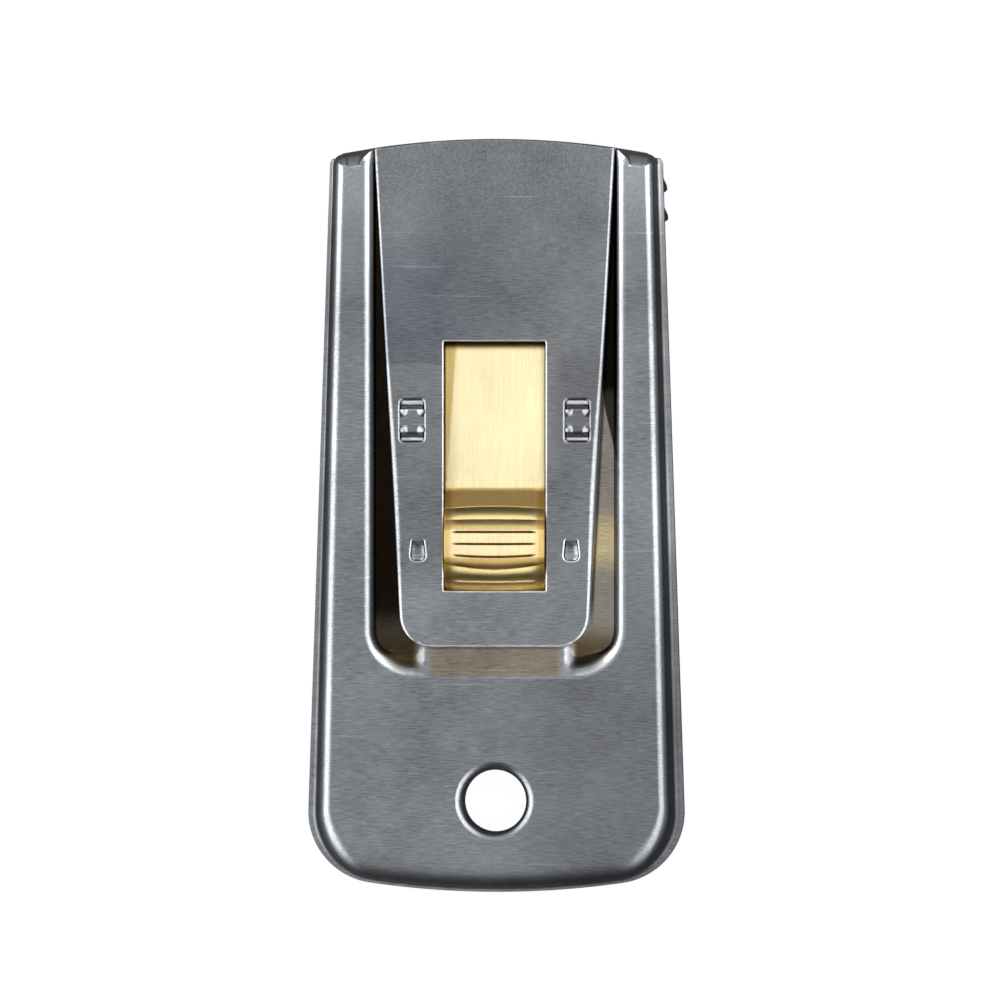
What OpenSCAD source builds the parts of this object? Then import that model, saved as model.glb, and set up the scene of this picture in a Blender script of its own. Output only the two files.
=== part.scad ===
// Pocket glass scraper of pressed sheet metal with a retracting single-edge blade.
// Millimetres. The tool lies on its back: +Z out of the front face, +Y towards the blade.
// The origin is under the middle of the casing, on the surface that the tool lies on.

/* [Casing] */
// Length from the tail end to the crown of the mouth end
casing_length = 95.25; // [88:0.25:110]
// Width across the sides, carried down to the tail end
tail_width = 48.4; // [46:0.1:54]
// Thickness of the casing's steel sheet
sheet = 0.8; // [0.6:0.05:1]
// Rounding of the rim, outside
rim_round = 2.4; // [1.6:0.1:3]
// Radius of the crowned mouth end
mouth_crown = 105; // [80:1:150]
// Radius of the crowned tail end
tail_crown = 112; // [80:1:150]
// Rounding of the two corners at the mouth
mouth_corner = 1.4; // [1:0.1:2]
// Rounding of the two corners at the tail
tail_corner = 9.1; // [6:0.1:12]
// Width of the hem folded under the sides and the tail
hem_width = 2.2; // [1.5:0.1:3]

/* [Recess] */
// Width of each arm beside the recess, at the mouth
arm_width = 5; // [4.4:0.1:5.2]
// How far each recess wall leans in on its way down to the floor
wall_lean = 0.3; // [0.1:0.05:0.35]
// Run of the ramp from the recess floor up to the rim
ramp_run = 3.9; // [3:0.1:6]
// Rounding of the recess's two lower corners
recess_corner = 5.3; // [4:0.1:7]
// Distance from the mouth crown to the front edge of the recess floor
floor_setback = 31.8; // [30:0.1:33]

/* [Hanging hole] */
// Radius of the hole
hole_radius = 3.95; // [3:0.05:5]
// Distance from the tail end to the hole's centre
hole_setback = 11.6; // [9:0.1:14]
// Rounding of the drawn lip round the hole
hole_flare = 1; // [0.5:0.05:1.2]

/* [Guide plate] */
// Gap between the plate and the foot of each recess wall, at the mouth
plate_side_gap = 0.45; // [0.3:0.05:0.8]
// Length of the plate behind the window
plate_heel_length = 7.2; // [6:0.1:9]
// Rounding of the heel's corners
plate_corner = 4.2; // [3:0.1:5]
// Thickness of the plate
plate_sheet = 0.8; // [0.6:0.05:1]
// How far the plate lies below the rim
plate_sink = 0.2; // [0.1:0.05:0.4]
// Gap between the window and the spring, on each side
window_gap = 0.2; // [0.15:0.05:0.4]
// Length of the thumb window
window_length = 31.5; // [29:0.1:32]
// Distance from the mouth crown to the window
window_setback = 25.6; // [25:0.1:27]
// Rounding of the window's corners
window_corner = 0.4; // [0.2:0.05:0.8]
// Width of a clinched strap
clinch_width = 3.5; // [3:0.1:3.8]
// Length of a clinched strap
clinch_length = 5.7; // [5:0.1:6]
// Distance from the window to a lanced tab's cut
lance_gap = 2.25; // [1.8:0.05:2.5]
// Distance from a lanced tab's cut to the plate's side, carried down to the heel
lance_margin = 0.7; // [0.6:0.05:1.5]
// Width of a lanced tab's cut
lance_width = 2; // [1.6:0.05:2.4]
// Length of a lanced tab's cut
lance_length = 3.2; // [2.6:0.05:4]
// Height of the tabs' middle above the heel
lance_height = 12.3; // [10:0.1:14]

/* [Back plate] */
// Thickness of the back plate
back_sheet = 0.8; // [0.6:0.05:1]
// How far the two hooks stand out of the right wall
hook_reach = 0.45; // [0.2:0.05:0.8]
// Width of a hook along the wall
hook_width = 1.8; // [1.2:0.1:2.2]
// Distance from hook to hook along the wall
hook_pitch = 3.7; // [3.2:0.1:5]
// Distance from the mouth crown to the front hook's middle
hook_setback = 5.8; // [5:0.1:7]

/* [Blade] */
// Length of the cutting edge
blade_width = 38.1; // [37:0.05:38.2]
// Depth from the cutting edge to the back of the spine
blade_depth = 19.05; // [18:0.05:19.5]
// Thickness of the blade
blade_sheet = 0.23; // [0.2:0.01:0.3]
// Width of the ground edge
grind_width = 1.2; // [0.8:0.1:2]
// Depth of the folded spine
spine_depth = 5; // [4:0.1:5.4]
// Thickness of the folded spine
spine_height = 1; // [0.8:0.05:1.2]
// Distance from the mouth crown to the cutting edge when drawn in
blade_setback = 3.1; // [2.8:0.1:3.6]
// Width of the two end notches
notch_width = 1.6; // [1:0.1:2]
// Length of the two end notches
notch_length = 2.4; // [1.5:0.1:3]

/* [Carrier] */
// Thickness of the carrier's sheet
carrier_sheet = 0.7; // [0.6:0.05:0.8]
// Depth of the ledge under the blade
ledge_depth = 6.4; // [5:0.1:8]
// Thickness of the lugs at the blade's ends
lug_thickness = 0.6; // [0.4:0.05:0.65]
// Length of the lugs at the blade's ends
lug_length = 7; // [5:0.1:8]
// Room between each lug and the casing's wall, at the mouth
side_room = 0.45; // [0.35:0.05:1.5]
// Width of a rail of the fork
rail_width = 1.65; // [1.2:0.05:1.8]
// Depth of the bar that the spring is riveted to
spring_bar_depth = 3.2; // [3:0.05:3.4]
// Depth of the bar that closes the fork
rear_bar_depth = 2; // [1.5:0.1:2.5]

/* [Thumb spring] */
// Width of the brass strip
spring_width = 12.5; // [12.2:0.05:12.6]
// Thickness of the brass strip
spring_sheet = 0.5; // [0.4:0.05:0.6]
// Length of the thumb hump
hump_length = 12.8; // [12:0.1:13.4]
// Rise of the thumb hump above the flat strip
hump_rise = 2.2; // [1.8:0.05:2.4]
// Ribs across the hump
rib_count = 7; // [5:1:9]
// Distance from rib to rib
rib_pitch = 1.55; // [1.3:0.05:1.6]
// Length of a rib
rib_length = 10.5; // [9:0.1:11]
// Rounding of a rib
rib_radius = 0.28; // [0.2:0.02:0.35]
// Length of the tail behind the hump
tail_length = 3.4; // [3:0.1:3.8]
// Length of the ears at the tail's end
ear_length = 2; // [1.5:0.1:2.4]
// How far each ear stands out
ear_reach = 0.95; // [0.7:0.05:1]

/* [Rivets] */
// Radius of a rivet's shank
rivet_radius = 0.7; // [0.5:0.05:0.8]
// Radius of a rivet's heads
rivet_head = 1.1; // [1:0.05:1.2]
// Height of a rivet's heads
rivet_head_height = 0.25; // [0.2:0.05:0.28]
// Distance between the rivets
rivet_spacing = 7; // [5:0.1:8]

/* [Fits] */
// Running gap under and over what slides
running_gap = 0.1; // [0.1:0.01:0.15]
// Gap between fixed pieces that fit together
fit_gap = 0.05; // [0.03:0.01:0.1]
// Room under a rivet's head for the strip to flex
flex_gap = 0.15; // [0.12:0.01:0.2]

/* [Hidden] */

// Length by which a cut runs past the face it opens
overrun = 1;
// Thickness of the slices that a rounded block is drawn over
slice = 0.02;
// Smallest corner that an inset outline keeps
least_corner = 0.1;
// Length by which joined stretches of one sheet run into each other
weld = 0.3;
crown_steps = 10;
corner_steps = 8;
round_steps = 6;
hump_steps = 24;
$fn = 48;

// Heights, stacked up from the surface that the tool lies on
back_bottom = sheet;
back_top = back_bottom + back_sheet;
carrier_bottom = back_top + running_gap;
groove_top = carrier_bottom + carrier_sheet;
spine_top = groove_top + spine_height;
blade_bottom = groove_top + (spine_height - blade_sheet) / 2;
rail_top = spine_top;
rail_bottom = rail_top - carrier_sheet;
strip_bottom = rail_top;
strip_top = strip_bottom + spring_sheet;
floor_bottom = rail_top + 2 * running_gap;
floor_top = floor_bottom + sheet;
plate_top = floor_top + plate_sheet;
rim_top = plate_top + plate_sink;

// Widths, from the blade out to the casing and from the spring out to the clinches
lug_inner = blade_width / 2 + running_gap;
lug_outer = lug_inner + lug_thickness;
mouth_half = lug_outer + side_room / 2;
mouth_width = 2 * (lug_outer + side_room + sheet);
recess_width = mouth_width - 2 * arm_width;
plate_mouth_width = recess_width - 2 * (wall_lean + plate_side_gap);
window_width = spring_width + 2 * window_gap;
slot_half = window_width / 2 + fit_gap;
ear_half = spring_width / 2 + ear_reach;
rail_inner = ear_half + running_gap;
rail_outer = rail_inner + rail_width;
stud_width = clinch_width - sheet;
clinch_spacing = 2 * (rail_outer + 2 * running_gap) + stud_width;
lance_spacing = window_width + 2 * lance_gap + lance_width;
plate_heel_width = lance_spacing + lance_width + 2 * lance_margin;
plate_length = window_setback + window_length + plate_heel_length;

// Places along the tool
mouth_y = casing_length / 2;
tail_y = -casing_length / 2;
plate_heel_y = mouth_y - plate_length;
recess_heel_y = plate_heel_y - ramp_run;
floor_front_y = mouth_y - floor_setback;
window_front_y = mouth_y - window_setback;
window_rear_y = window_front_y - window_length;
hole_y = tail_y + hole_setback;
edge_y = mouth_y - blade_setback;
spine_rear_y = edge_y - blade_depth;
spine_front_y = spine_rear_y + spine_depth;
bar_front_y = spine_rear_y - fit_gap;
bar_rear_y = bar_front_y - spring_bar_depth;
groove_rear_y = bar_front_y - carrier_sheet;
rivet_y = (groove_rear_y + bar_rear_y) / 2;
ledge_front_y = spine_front_y + ledge_depth;
clinch_margin = 1;
clinch_y = floor_front_y - clinch_margin - clinch_length / 2;
lance_y = plate_heel_y + lance_height;
hump_rear_y = window_rear_y + fit_gap + spring_sheet / 2;
hump_front_y = hump_rear_y + hump_length;
spring_tail_y = hump_rear_y - tail_length;
travel = window_front_y - hump_front_y - spring_sheet;

// The casing's tapered sides
taper_angle = atan((tail_width - mouth_width) / 2 / casing_length);
side_normal = [cos(taper_angle), sin(taper_angle)];
side_along = [-sin(taper_angle), cos(taper_angle)];
side_reach = (tail_width + mouth_width) / 4 * cos(taper_angle);
mouth_centre = [0, mouth_y - mouth_crown];
tail_centre = [0, tail_y + tail_crown];

// The clinch: a strap pressed through the floor and spread under it
stud_length = clinch_length - sheet;
spread_length = stud_length + sheet;
spread_height = sheet / 2 - fit_gap;

// The lanced tab
lance_slit = lance_width / 8;
lance_drop = plate_sheet / 2;

// The spring's ears lie just under the recess floor, which has slots for them
ear_top = floor_bottom - fit_gap;
detent_count = 3;

// The folded strip of the blade's spine
spine_wall = (spine_height - blade_sheet) / 2;

// The thumb hump is one arc
hump_radius = (pow(hump_length / 2, 2) + pow(hump_rise, 2)) / (2 * hump_rise);
hump_y = (hump_front_y + hump_rear_y) / 2;
hump_centre_z = strip_top + hump_rise - hump_radius;

steel = [0.52, 0.53, 0.55];
bright_steel = [0.66, 0.67, 0.69];
dark_steel = [0.36, 0.37, 0.38];
brass_yellow = [0.85, 0.74, 0.42];

function angle_of(v) = atan2(v[1], v[0]);

// Points on an arc, after its start and up to its end
function arc(centre, radius, from, to, steps) =
    [for (i = [1 : steps]) let (a = from + (to - from) * i / steps) centre + radius * [cos(a), sin(a)]];

// A closed outline from its right half, whose first and last points lie on the middle line
function both_halves(right) =
    concat(right, [for (i = [len(right) - 2 : -1 : 1]) [-right[i][0], right[i][1]]]);

// Centre of a corner that is tangent to the right side and, inside, to a crowned end
function corner_centre(crown_centre, crown, inset, corner, towards) =
    let (
        start = side_normal * (side_reach - inset - corner) - crown_centre,
        drift = start * side_along,
        reach = crown - inset - corner,
        slide = towards * sqrt(drift * drift - start * start + reach * reach) - drift
    )
    crown_centre + start + slide * side_along;

// The casing's outline, drawn in by an inset
function casing_outline(inset) =
    let (
        front = max(mouth_corner - inset, least_corner),
        rear = max(tail_corner - inset, least_corner),
        front_centre = corner_centre(mouth_centre, mouth_crown, inset, front, 1),
        rear_centre = corner_centre(tail_centre, tail_crown, inset, rear, -1),
        front_turn = angle_of(front_centre - mouth_centre),
        rear_turn = angle_of(rear_centre - tail_centre),
        side_end = front_centre + front * side_normal
    )
    both_halves(concat(
        [[0, tail_y + inset]],
        arc(tail_centre, tail_crown - inset, -90, rear_turn, crown_steps),
        arc(rear_centre, rear, rear_turn, taper_angle, corner_steps),
        [side_end],
        arc(front_centre, front, taper_angle, front_turn, corner_steps),
        arc(mouth_centre, mouth_crown - inset, front_turn, 90, crown_steps)
    ));

// Half the casing's width at one place along the tool
function side_x(y) = side_reach / cos(taper_angle) - y * tan(taper_angle);

// The opening between the two side hems, carried out through the mouth
function hem_mouth_outline() =
    let (
        drawn_in = (sheet + hem_width) / cos(taper_angle),
        front_y = mouth_y + overrun
    )
    both_halves([[0, 0], [side_x(0) - drawn_in, 0], [side_x(front_y) - drawn_in, front_y], [0, front_y]]);

// A block with the casing's outline and a rounded top edge
module rounded_block(bottom, top, rounding, inset) {
    hull() {
        translate([0, 0, bottom])
            linear_extrude(top - rounding - bottom)
                polygon(casing_outline(inset));
        for (step = [1 : round_steps]) {
            turn = 90 * step / round_steps;
            translate([0, 0, top - rounding * (1 - sin(turn)) - slice])
                linear_extrude(slice)
                    polygon(casing_outline(inset + rounding * (1 - cos(turn))));
        }
    }
}

// A channel that is open at the mouth and has two round corners at its heel
function channel_outline(half_width, heel_y, corner) =
    let (
        centre = [half_width - corner, heel_y + corner],
        front_y = mouth_y + overrun
    )
    both_halves(concat(
        [[0, heel_y], [centre[0], heel_y]],
        arc(centre, corner, -90, 0, corner_steps),
        [[half_width, front_y], [0, front_y]]
    ));

// The recess, or with a wall its underside
module recess_block(wall) {
    half = recess_width / 2 + wall;
    hull() {
        translate([0, 0, floor_top - wall])
            linear_extrude(slice)
                polygon(channel_outline(half - wall_lean, plate_heel_y - wall, recess_corner));
        translate([0, 0, rim_top])
            linear_extrude(overrun)
                polygon(channel_outline(half, recess_heel_y - wall, recess_corner));
    }
}

module rounded_rectangle(width, length, corner) {
    square([width - 2 * corner, length], center = true);
    square([width, length - 2 * corner], center = true);
    for (x = [-1, 1], y = [-1, 1]) {
        translate([x * (width / 2 - corner), y * (length / 2 - corner)]) circle(corner);
    }
}

module centred_box(width, length, height) {
    translate([-width / 2, -length / 2, 0]) cube([width, length, height]);
}

// A box between two places along the tool, centred across it
module bar(width, from_y, to_y, bottom, top) {
    translate([-width / 2, from_y, bottom]) cube([width, to_y - from_y, top - bottom]);
}

// Puts its children at the casing's right side, turned to the taper, at one place along the tool
module at_right_side(y) {
    translate([side_x(y), y, 0])
        rotate([0, 0, taper_angle])
            children();
}

module both_sides(spacing, y) {
    for (side = [-1, 1]) {
        translate([side * spacing / 2, y, 0]) children();
    }
}

// The two hooks of the back plate, or with a gap the slots for them in the casing's wall
module hooks(gap) {
    for (i = [0, 1]) {
        at_right_side(mouth_y - hook_setback - i * hook_pitch)
            translate([-2 * sheet, -hook_width / 2 - gap, back_bottom - gap])
                cube([2 * sheet + hook_reach + gap, hook_width + 2 * gap, back_sheet + 2 * gap]);
    }
}

module hole_lip() {
    rotate_extrude()
        translate([hole_radius, rim_top - hole_flare])
            difference() {
                square([hole_flare, hole_flare + overrun]);
                translate([hole_flare, 0]) circle(hole_flare);
            }
}

// What is cut out of the recess floor: the thumb slot, the clinch holes, the tab pockets and the detents
module floor_cuts() {
    cut = sheet + 2 * overrun;
    translate([0, 0, floor_bottom - overrun]) {
        bar(2 * slot_half, window_rear_y - spring_sheet, floor_front_y + overrun, 0, cut);
        both_sides(clinch_spacing, clinch_y)
            centred_box(stud_width + 2 * fit_gap, stud_length + 2 * fit_gap, cut);
        both_sides(lance_spacing, lance_y)
            centred_box(lance_width + 2 * fit_gap, lance_length + 2 * weld + 2 * fit_gap, cut);
        for (i = [0 : detent_count - 1]) {
            translate([0, spring_tail_y + ear_length / 2 + travel * i / (detent_count - 1), 0])
                both_sides(2 * slot_half, 0)
                    centred_box(2 * (ear_half - slot_half + fit_gap), ear_length + 2 * fit_gap, cut);
        }
    }
}

module front_casing() {
    color(steel)
        difference() {
            union() {
                difference() {
                    rounded_block(0, rim_top, rim_round, 0);
                    rounded_block(sheet, rim_top - sheet, rim_round - sheet, sheet);
                    translate([0, 0, -overrun])
                        linear_extrude(sheet + 2 * overrun) {
                            polygon(casing_outline(sheet + hem_width));
                            polygon(hem_mouth_outline());
                        }
                }
                intersection() {
                    recess_block(sheet);
                    rounded_block(0, rim_top, rim_round, 0);
                }
                translate([0, hole_y, back_top])
                    cylinder(rim_top - back_top - sheet / 2, r = hole_radius + sheet);
            }
            recess_block(0);
            bar(recess_width - 2 * wall_lean, floor_front_y, mouth_y + overrun, 0, rim_top);
            bar(2 * mouth_half, ledge_front_y, mouth_y + overrun, back_bottom, floor_bottom);
            floor_cuts();
            hooks(fit_gap);
            translate([0, hole_y, 0]) {
                cylinder(rim_top + overrun, r = hole_radius);
                hole_lip();
            }
        }
}

// The guide plate's outline: the mouth crown, two tapered sides and a straight heel
function plate_outline() =
    let (
        mouth_half_width = plate_mouth_width / 2,
        heel_half_width = plate_heel_width / 2,
        lean = atan((mouth_half_width - heel_half_width) / plate_length),
        centre = [
            heel_half_width - plate_corner * (1 - sin(lean)) / cos(lean),
            plate_heel_y + plate_corner
        ],
        crown_turn = acos(mouth_half_width / mouth_crown)
    )
    both_halves(concat(
        [[0, plate_heel_y], [centre[0], plate_heel_y]],
        arc(centre, plate_corner, -90, -lean, corner_steps),
        [mouth_centre + mouth_crown * [cos(crown_turn), sin(crown_turn)]],
        arc(mouth_centre, mouth_crown, crown_turn, 90, crown_steps)
    ));

module guide_plate() {
    color(steel) {
        difference() {
            translate([0, 0, floor_top]) linear_extrude(plate_sheet) polygon(plate_outline());
            translate([0, (window_front_y + window_rear_y) / 2, floor_top - overrun])
                linear_extrude(plate_sheet + 2 * overrun)
                    rounded_rectangle(window_width, window_length, window_corner);
            both_sides(clinch_spacing, clinch_y)
                translate([0, 0, plate_top - plate_sheet / 2])
                    centred_box(clinch_width, clinch_length, plate_sheet);
            both_sides(lance_spacing, lance_y)
                translate([0, 0, floor_top - overrun])
                    centred_box(lance_width, lance_length, plate_sheet + 2 * overrun);
        }
        both_sides(clinch_spacing, clinch_y) {
            translate([0, 0, floor_bottom - spread_height])
                centred_box(stud_width, stud_length, sheet + spread_height + plate_sheet / 2);
            translate([0, 0, floor_bottom - spread_height])
                centred_box(stud_width, spread_length, spread_height);
        }
        both_sides(lance_spacing, lance_y)
            translate([lance_slit - lance_width / 2, lance_slit - lance_length / 2, floor_top - lance_drop])
                cube([lance_width - 2 * lance_slit, lance_length - lance_slit + weld, plate_sheet]);
    }
}

module back_plate() {
    color(dark_steel)
        difference() {
            union() {
                translate([0, 0, back_bottom])
                    linear_extrude(back_sheet)
                        polygon(casing_outline(sheet + fit_gap));
                hooks(0);
            }
            translate([0, hole_y, 0]) cylinder(back_top + overrun, r = hole_radius);
        }
}

module blade_carrier() {
    groove_front_y = spine_front_y + running_gap;
    fork_front_y = spring_tail_y - 2 * running_gap;
    fork_rear_y = fork_front_y - rear_bar_depth;
    difference() {
        color(bright_steel) {
            // Floor of the spine's groove, with the lugs at the blade's ends
            bar(2 * lug_outer, groove_rear_y, groove_front_y + carrier_sheet, carrier_bottom, groove_top);
            both_sides(lug_inner + lug_outer, spine_rear_y + lug_length / 2)
                translate([0, 0, carrier_bottom])
                    centred_box(lug_thickness, lug_length, spine_top - carrier_bottom);
            // Ledge under the blade, raised by a step in front of the spine
            bar(blade_width, groove_front_y, groove_front_y + carrier_sheet, carrier_bottom, blade_bottom);
            bar(blade_width, groove_front_y, ledge_front_y, blade_bottom - carrier_sheet, blade_bottom);
            // Step up behind the spine to the spring's bar
            bar(blade_width, groove_rear_y, bar_front_y, carrier_bottom, rail_top);
            bar(2 * rail_outer, bar_rear_y, bar_front_y, rail_bottom, rail_top);
            // Fork and the bar that closes it
            both_sides(rail_inner + rail_outer, 0)
                bar(rail_width, fork_rear_y, bar_front_y, rail_bottom, rail_top);
            bar(2 * rail_outer, fork_rear_y, fork_front_y, rail_bottom, rail_top);
        }
        both_sides(rivet_spacing, rivet_y) cylinder(rim_top, r = rivet_radius + fit_gap);
    }
}

// Section of the brass strip along the tool: flat, hump, then down to the tail under the floor
function spring_section() =
    let (
        centre = [hump_y, hump_centre_z],
        inner = hump_radius - spring_sheet,
        outer_turn = asin((strip_top - hump_centre_z) / hump_radius),
        inner_turn = asin((strip_bottom - hump_centre_z) / inner),
        tail_turn = asin((ear_top - hump_centre_z) / hump_radius),
        inner_tail_turn = asin((ear_top - spring_sheet - hump_centre_z) / inner)
    )
    concat(
        [[bar_front_y, strip_bottom], [bar_front_y, strip_top]],
        arc(centre, hump_radius, outer_turn, 180 - tail_turn, hump_steps),
        [[spring_tail_y, ear_top], [spring_tail_y, ear_top - spring_sheet]],
        arc(centre, inner, 180 - inner_tail_turn, inner_turn, hump_steps)
    );

module thumb_spring() {
    color(brass_yellow)
        difference() {
            union() {
                translate([-spring_width / 2, 0, 0])
                    rotate([90, 0, 90])
                        linear_extrude(spring_width)
                            polygon(spring_section());
                for (i = [0 : rib_count - 1]) {
                    rib_y = hump_y + (i - (rib_count - 1) / 2) * rib_pitch;
                    rib_turn = acos((rib_y - hump_y) / hump_radius);
                    translate([-rib_length / 2, rib_y, hump_centre_z + hump_radius * sin(rib_turn)])
                        rotate([0, 90, 0])
                            cylinder(rib_length, r = rib_radius);
                }
                bar(2 * ear_half, spring_tail_y, spring_tail_y + ear_length, ear_top - spring_sheet, ear_top);
            }
            both_sides(rivet_spacing, rivet_y) cylinder(rim_top, r = rivet_radius + running_gap);
        }
}

module spring_rivets() {
    color(bright_steel)
        both_sides(rivet_spacing, rivet_y) {
            translate([0, 0, rail_bottom - rivet_head_height]) cylinder(rivet_head_height, r = rivet_head);
            translate([0, 0, rail_bottom - rivet_head_height])
                cylinder(strip_top + flex_gap + rivet_head_height - rail_bottom, r = rivet_radius);
            translate([0, 0, strip_top + flex_gap]) cylinder(rivet_head_height, r = rivet_head);
        }
}

module blade() {
    foil_rear_y = spine_rear_y + spine_wall;
    notch_y = spine_front_y + notch_length;
    color(bright_steel)
        difference() {
            translate([-blade_width / 2, 0, 0])
                rotate([90, 0, 90])
                    linear_extrude(blade_width)
                        polygon([
                            [foil_rear_y, blade_bottom],
                            [edge_y - grind_width, blade_bottom],
                            [edge_y, blade_bottom + blade_sheet / 2],
                            [edge_y - grind_width, blade_bottom + blade_sheet],
                            [foil_rear_y, blade_bottom + blade_sheet]
                        ]);
            both_sides(blade_width, notch_y) centred_box(2 * notch_width, notch_length, rim_top);
        }
}

module blade_spine() {
    color(steel)
        difference() {
            bar(blade_width, spine_rear_y, spine_front_y, groove_top, spine_top);
            bar(
                blade_width + 2 * overrun,
                spine_rear_y + spine_wall,
                spine_front_y + overrun,
                blade_bottom,
                blade_bottom + blade_sheet
            );
        }
}

front_casing();
guide_plate();
back_plate();
blade_carrier();
thumb_spring();
spring_rivets();
blade();
blade_spine();
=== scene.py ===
import bmesh
import bpy
from math import atan2, cos, exp, pi, radians, sin, sqrt, tan
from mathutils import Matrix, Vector


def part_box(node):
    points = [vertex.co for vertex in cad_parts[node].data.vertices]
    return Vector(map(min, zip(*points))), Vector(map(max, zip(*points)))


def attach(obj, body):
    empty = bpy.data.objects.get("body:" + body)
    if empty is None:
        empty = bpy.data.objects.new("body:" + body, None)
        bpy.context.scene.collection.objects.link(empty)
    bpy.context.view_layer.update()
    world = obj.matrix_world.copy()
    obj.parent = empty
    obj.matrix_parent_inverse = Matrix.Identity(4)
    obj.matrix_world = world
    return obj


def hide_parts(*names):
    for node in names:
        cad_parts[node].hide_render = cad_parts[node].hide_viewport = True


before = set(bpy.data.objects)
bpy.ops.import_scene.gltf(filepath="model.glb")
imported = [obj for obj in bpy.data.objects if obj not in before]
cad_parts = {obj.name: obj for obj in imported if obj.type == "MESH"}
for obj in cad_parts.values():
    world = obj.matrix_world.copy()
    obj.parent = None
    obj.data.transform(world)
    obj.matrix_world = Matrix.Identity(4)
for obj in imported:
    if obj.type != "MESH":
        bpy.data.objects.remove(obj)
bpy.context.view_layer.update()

# Front casing: the handle shell, drawn from steel sheet, brushed across and left bare. Its skin rolls
# over into leaning side walls that are folded under as a hem, and a shallow recess is pressed in the
# middle for the guide plate. A collar round the hanging hole is drawn down to the back.
mm = 0.001
case_low, case_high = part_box("front_casing")
plate_low, plate_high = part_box("guide_plate")
back_low, back_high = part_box("back_plate")
rim_z, shoulder = case_high.z, back_high.z
mouth_y, tail_y = plate_high.y, case_low.y
sheet, thinned_share = back_low.z - case_low.z, 0.72
half_middle, side_taper = 22.598 * mm, -0.0336
wall_lean, wall_lean_taper = 0.85 * mm, 0.0055
skin_inset, skin_inset_taper = 2.8 * mm, 0.0122
mouth_crown, tail_crown = 105 * mm, 112 * mm
base_tail_corner, knee_tail_corner, skin_tail_corner = 9.1 * mm, 8.6 * mm, 6.4 * mm
base_mouth_corner, knee_mouth_corner, skin_mouth_corner = 1.4 * mm, 1.3 * mm, 0.1 * mm
knee_tail_inset, skin_tail_inset, knee_mouth_inset = 0.55 * mm, 3.9 * mm, 0.1 * mm
arm_tip_x, lip_deep = 15.28 * mm, 1.85 * mm
lip_outer, lip_run, lip_inner = 1.85 * mm, 2.1 * mm, 1.1 * mm
recess_half, recess_heel, recess_corner = 16.65 * mm, -20.6 * mm, 6.4 * mm
recess_roll, recess_deep, bowl_run, ramp_run = 1.5 * mm, 1.03 * mm, 2.9 * mm, 5.2 * mm
plate_half_middle, plate_taper = 12.75 * mm, 0.0535
hole, hole_sides = Vector((0, -36.025 * mm, 0)), 72
tail_steps, corner_steps, side_steps, mouth_steps, arm_steps = 13, 20, 40, 12, 24


def corner_arc(half, taper, crown_y, crown, radius, side):
    """Centre of a corner of that radius inside the leaning side and the crowned end, and its two angles."""
    lean = atan2(-taper, 1)
    out = Vector((cos(lean), sin(lean)))
    along = Vector((-sin(lean), cos(lean)))
    start = out * (half * cos(lean) - radius)
    hub = Vector((0, crown_y - side * crown))
    away = start - hub
    middle = away.dot(along)
    reach = -middle + side * sqrt(middle ** 2 - away.length_squared + (crown - radius) ** 2)
    centre = start + along * reach
    to_end = centre - hub
    return centre, lean, atan2(to_end.y, to_end.x)


def round_point(hub, radius, turn):
    return hub + Vector((cos(turn), sin(turn))) * radius


def shell_contour(half, taper, tail, tail_corner, mouth, mouth_corner):
    """Right half of a contour of the casing, from the middle of the tail round to its mouth's corner."""
    hub, lean, turn = corner_arc(half, taper, tail, tail_crown, tail_corner, -1)
    crown_hub = Vector((0, tail + tail_crown))
    points = []
    for n in range(tail_steps):
        points.append(round_point(crown_hub, tail_crown, -pi / 2 + (turn + pi / 2) * n / tail_steps))
    for n in range(corner_steps + 1):
        points.append(round_point(hub, tail_corner, turn + (lean - turn) * n / corner_steps))
    low = points[-1]
    hub, lean, turn = corner_arc(half, taper, mouth, mouth_crown, mouth_corner, 1)
    high = round_point(hub, mouth_corner, lean)
    points += [low.lerp(high, n / side_steps) for n in range(1, side_steps)]
    for n in range(mouth_steps + 1):
        points.append(round_point(hub, mouth_corner, lean + (turn - lean) * n / mouth_steps))
    return points


def crown_point(x, inset):
    return Vector((x, mouth_y - inset - mouth_crown + sqrt(mouth_crown ** 2 - x ** 2)))


def blend(a, b, part):
    return [p + (q - p) * part for p, q in zip(a, b)]


def ease(value, start, end):
    part = min(1, max(0, (value - start) / (end - start)))
    return part * part * (3 - 2 * part)


edge_shares = (0.06, 0.13, 0.22, 0.31, 0.4, 0.5, 0.6, 0.7, 0.79, 0.87, 0.94, 1)


def pressed_edge(*turns):
    """Runs and drops, for a run of 1, of a sheet edge whose slope turns through (share of run, degrees)."""
    points = [(0, 0)]
    for share in edge_shares:
        run, drop = points[-1]
        middle = (run + share) / 2
        for (from_share, from_slope), (to_share, to_slope) in zip(turns, turns[1:]):
            if from_share <= middle <= to_share:
                part = (middle - from_share) / (to_share - from_share)
                slope = from_slope + (to_slope - from_slope) * part
        points.append((share, drop + (share - run) * tan(radians(slope))))
    return points


def draw_along(bm, rows):
    """Draws a chain of edges from row to row, as a sheet is drawn over a former, and returns its strips
    of faces."""
    chain = [bm.verts.new(p) for p in rows[0]]
    edges = [bm.edges.new(pair) for pair in zip(chain, chain[1:])]
    strips = []
    for row in rows[1:]:
        made = bmesh.ops.extrude_edge_only(bm, edges=edges)["geom"]
        fresh = {v for v in made if isinstance(v, bmesh.types.BMVert)}
        chain = [next(e.other_vert(v) for e in v.link_edges if e.other_vert(v) in fresh) for v in chain]
        for vert, place in zip(chain, row):
            vert.co = place
        edges = [e for e in made if isinstance(e, bmesh.types.BMEdge) and fresh.issuperset(e.verts)]
        strips.append([f for f in made if isinstance(f, bmesh.types.BMFace)])
    return strips


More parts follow.
